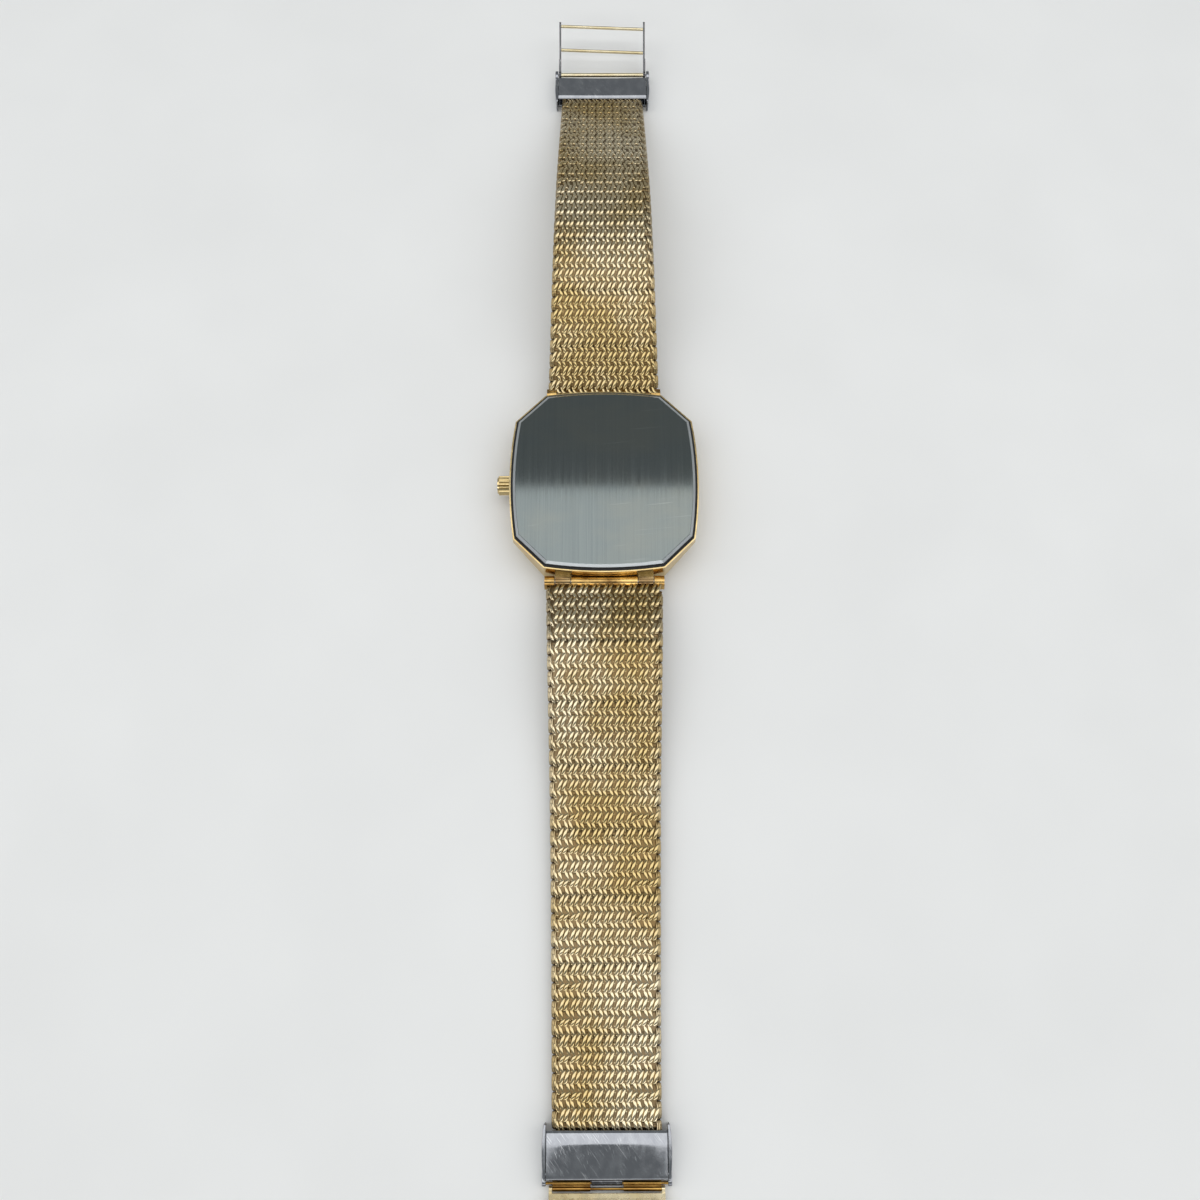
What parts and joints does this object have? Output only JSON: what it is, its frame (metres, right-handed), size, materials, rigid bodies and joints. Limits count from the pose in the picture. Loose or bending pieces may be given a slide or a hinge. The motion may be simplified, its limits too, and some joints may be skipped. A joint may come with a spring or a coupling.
{
  "type": "dress watch",
  "caption": "Rounded-octagon quartz dress watch with a tapered woven wire strap and a ladder fold-over clasp, lying face down and open.",
  "frame": {"origin": "centre of the crystal's outer face, on the axis of the hands", "axes": "+Z out of the case back, +Y along the strap towards 12 o'clock, -X towards the crown"},
  "size_m": [0.0341, 0.2286, 0.0132],
  "materials": {
    "gold_case": "yellow gold plating, polished and lightly handled",
    "gold_mesh": "woven gold-plated wire, soft satin",
    "brushed_back": "brushed along the strap with fine scratches",
    "polished_steel": "polished steel with wear scratches",
    "movement_steel": "plain steel sheet and turned parts",
    "movement_brass": "satin brass movement plates and wheels",
    "champagne_dial": "satin champagne lacquer",
    "crystal_glass": "clear polished mineral glass",
    "gasket_rubber": "matt black rubber",
    "white_plastic": "matt white moulded plastic",
    "green_board": "green solder mask",
    "black_plastic": "black moulded chip",
    "copper_coil": "enamelled copper wire"
  },
  "bodies": {
    "case": {"case_body": "gold_case", "case_back": "brushed_back", "back_gasket": "gasket_rubber", "crystal": "crystal_glass", "crystal_gasket": "white_plastic", "dial_ring": "gold_case", "dial": "champagne_dial", "hour_markers": "gold_case", "crown_tube": "polished_steel", "movement_holder": "white_plastic", "main_plate": "movement_brass", "train_bridge": "movement_brass", "circuit_board": "green_board", "control_chip": "black_plastic", "quartz_can": "polished_steel", "drive_coil": "copper_coil", "stator": "movement_steel", "battery": "polished_steel", "battery_clamp": "movement_steel", "movement_screws": "polished_steel", "strap_pins": "movement_steel"},
    "minute_works": {"minute_hand": "gold_case", "centre_wheel": "movement_brass"},
    "hour_works": {"hour_hand": "gold_case", "hour_wheel": "movement_brass"},
    "minute_wheel_body": {"minute_wheel": "movement_brass"},
    "third_wheel_body": {"third_wheel": "movement_brass"},
    "fifth_wheel_body": {"fifth_wheel": "movement_brass"},
    "rotor_body": {"rotor": "movement_steel"},
    "crown_slide": {"setting_lever": "movement_steel"},
    "crown_set": {"crown": "gold_case", "stem": "polished_steel", "crown_gasket": "gasket_rubber"},
    "upper_strap_1": {"upper_end_tube": "gold_case", "upper_segment_1": "gold_mesh"},
    "lower_strap_1": {"lower_end_tube": "gold_case", "lower_segment_1": "gold_mesh"},
    "upper_strap_2": {"upper_segment_2": "gold_mesh"},
    "upper_strap_3": {"upper_segment_3": "gold_mesh"},
    "upper_strap_4": {"upper_segment_4": "gold_mesh"},
    "upper_strap_5": {"upper_segment_5": "gold_mesh"},
    "upper_strap_6": {"upper_segment_6": "gold_mesh"},
    "upper_strap_7": {"upper_segment_7": "gold_mesh"},
    "lower_strap_2": {"lower_segment_2": "gold_mesh"},
    "lower_strap_3": {"lower_segment_3": "gold_mesh"},
    "lower_strap_4": {"lower_segment_4": "gold_mesh"},
    "lower_strap_5": {"lower_segment_5": "gold_mesh"},
    "lower_strap_6": {"lower_segment_6": "gold_mesh"},
    "lower_strap_7": {"lower_segment_7": "gold_mesh"},
    "lower_strap_8": {"lower_segment_8": "gold_mesh"},
    "upper_clamp_body": {"upper_clamp": "polished_steel", "ladder_pin": "polished_steel"},
    "upper_lock": {"upper_lock_plate": "polished_steel"},
    "ladder": {"ladder_rails": "polished_steel", "ladder_bars": "polished_steel"},
    "lower_clamp_body": {"lower_clamp": "polished_steel"},
    "lower_lock": {"lower_lock_plate": "polished_steel"},
    "link": {"hinge_link": "gold_case"},
    "cover": {"clasp_cover": "gold_case", "cover_liner": "movement_steel"}
  },
  "joints": [
    {"name": "minute_turn", "type": "hinge", "parent": "case", "child": "minute_works", "pos_m": [0, 0, 0.0015], "axis": [0, 0, 1], "continuous": true},
    {"name": "hour_turn", "type": "hinge", "parent": "case", "child": "hour_works", "pos_m": [0, 0, 0.0019], "axis": [0, 0, 1], "continuous": true},
    {"name": "minute_wheel_turn", "type": "hinge", "parent": "case", "child": "minute_wheel_body", "pos_m": [-0.00208, 0.0012, 0.00308], "axis": [0, 0, 1], "continuous": true},
    {"name": "third_wheel_turn", "type": "hinge", "parent": "case", "child": "third_wheel_body", "pos_m": [0.0026, -0.0015, 0.0046], "axis": [0, 0, 1], "continuous": true},
    {"name": "fifth_wheel_turn", "type": "hinge", "parent": "case", "child": "fifth_wheel_body", "pos_m": [0.004, -0.00392, 0.0046], "axis": [0, 0, 1], "continuous": true},
    {"name": "rotor_turn", "type": "hinge", "parent": "case", "child": "rotor_body", "pos_m": [0.00331, -0.0058, 0.0046], "axis": [0, 0, 1], "continuous": true},
    {"name": "crown_pull", "type": "slide", "parent": "case", "child": "crown_slide", "axis": [-1, 0, 0], "range_m": [0, 0.0008]},
    {"name": "crown_turn", "type": "hinge", "parent": "crown_slide", "child": "crown_set", "pos_m": [-0.01605, 0, 0.0035], "axis": [-1, 0, 0], "continuous": true},
    {"name": "upper_pin_hinge", "type": "hinge", "parent": "case", "child": "upper_strap_1", "pos_m": [0, 0.0175, 0.0032], "axis": [1, 0, 0], "range_deg": [-40, 20]},
    {"name": "upper_flex_1", "type": "hinge", "parent": "upper_strap_1", "child": "upper_strap_2", "pos_m": [0, 0.02525, 0.00681], "axis": [1, 0, 0], "range_deg": [-11, 19]},
    {"name": "upper_flex_2", "type": "hinge", "parent": "upper_strap_2", "child": "upper_strap_3", "pos_m": [0, 0.03434, 0.01048], "axis": [1, 0, 0], "range_deg": [-3, 27]},
    {"name": "upper_flex_3", "type": "hinge", "parent": "upper_strap_3", "child": "upper_strap_4", "pos_m": [0, 0.04396, 0.01235], "axis": [1, 0, 0], "range_deg": [-1, 29]},
    {"name": "upper_flex_4", "type": "hinge", "parent": "upper_strap_4", "child": "upper_strap_5", "pos_m": [0, 0.05375, 0.01201], "axis": [1, 0, 0], "range_deg": [-2, 28]},
    {"name": "upper_flex_5", "type": "hinge", "parent": "upper_strap_5", "child": "upper_strap_6", "pos_m": [0, 0.06326, 0.00964], "axis": [1, 0, 0], "range_deg": [-6, 24]},
    {"name": "upper_flex_6", "type": "hinge", "parent": "upper_strap_6", "child": "upper_strap_7", "pos_m": [0, 0.07234, 0.00597], "axis": [1, 0, 0], "range_deg": [-14.6, 15.4]},
    {"name": "upper_clamp_flex", "type": "hinge", "parent": "upper_strap_7", "child": "upper_clamp_body", "pos_m": [0, 0.08375, 0.0015], "axis": [1, 0, 0], "range_deg": [-35.4, 3.6]},
    {"name": "lower_pin_hinge", "type": "hinge", "parent": "case", "child": "lower_strap_1", "pos_m": [0, -0.0175, 0.0032], "axis": [-1, 0, 0], "range_deg": [-29, 31]},
    {"name": "lower_flex_1", "type": "hinge", "parent": "lower_strap_1", "child": "lower_strap_2", "pos_m": [0, -0.02837, 0.00591], "axis": [-1, 0, 0], "range_deg": [-1, 36]},
    {"name": "lower_flex_2", "type": "hinge", "parent": "lower_strap_2", "child": "lower_strap_3", "pos_m": [0, -0.03827, 0.00452], "axis": [-1, 0, 0], "range_deg": [-11, 17]},
    {"name": "lower_flex_3", "type": "hinge", "parent": "lower_strap_3", "child": "lower_strap_4", "pos_m": [0, -0.04809, 0.00261], "axis": [-1, 0, 0], "range_deg": [-21, 7]},
    {"name": "lower_flex_4", "type": "hinge", "parent": "lower_strap_4", "child": "lower_strap_5", "pos_m": [0, -0.05806, 0.00191], "axis": [-1, 0, 0], "range_deg": [-16, 12]},
    {"name": "lower_flex_5", "type": "hinge", "parent": "lower_strap_5", "child": "lower_strap_6", "pos_m": [0, -0.06806, 0.00156], "axis": [-1, 0, 0], "range_deg": [-16, 12]},
    {"name": "lower_flex_6", "type": "hinge", "parent": "lower_strap_6", "child": "lower_strap_7", "pos_m": [0, -0.07806, 0.00156], "axis": [-1, 0, 0], "range_deg": [-14, 14]},
    {"name": "lower_flex_7", "type": "hinge", "parent": "lower_strap_7", "child": "lower_strap_8", "pos_m": [0, -0.08806, 0.00156], "axis": [-1, 0, 0], "range_deg": [-14, 14]},
    {"name": "lower_clamp_flex", "type": "hinge", "parent": "lower_strap_8", "child": "lower_clamp_body", "pos_m": [0, -0.10056, 0.00156], "axis": [-1, 0, 0], "range_deg": [-14, 14]},
    {"name": "upper_lock_open", "type": "hinge", "parent": "upper_clamp_body", "child": "upper_lock", "pos_m": [0, 0.08855, 0.0027], "axis": [-1, 0, 0], "range_deg": [0, 80]},
    {"name": "ladder_swing", "type": "hinge", "parent": "upper_clamp_body", "child": "ladder", "pos_m": [0, 0.0902, 0.002], "axis": [1, 0, 0], "range_deg": [-40, 50]},
    {"name": "lower_lock_open", "type": "hinge", "parent": "lower_clamp_body", "child": "lower_lock", "pos_m": [0, -0.10626, 0.00276], "axis": [1, 0, 0], "range_deg": [0, 80]},
    {"name": "clasp_link_fold", "type": "hinge", "parent": "lower_clamp_body", "child": "link", "pos_m": [0, -0.10761, 0.00061], "axis": [1, 0, 0], "range_deg": [0, 90]},
    {"name": "cover_fold", "type": "hinge", "parent": "link", "child": "cover", "pos_m": [0, -0.10837, 0.00061], "axis": [1, 0, 0], "range_deg": [0, 90]}
  ],
  "couplings": [
    {"joint": "hour_turn", "follows": "minute_turn", "ratio": 0.083333},
    {"joint": "minute_wheel_turn", "follows": "minute_turn", "ratio": -0.33333},
    {"joint": "third_wheel_turn", "follows": "minute_turn", "ratio": -5},
    {"joint": "fifth_wheel_turn", "follows": "minute_turn", "ratio": 30},
    {"joint": "rotor_turn", "follows": "minute_turn", "ratio": -90}
  ]
}
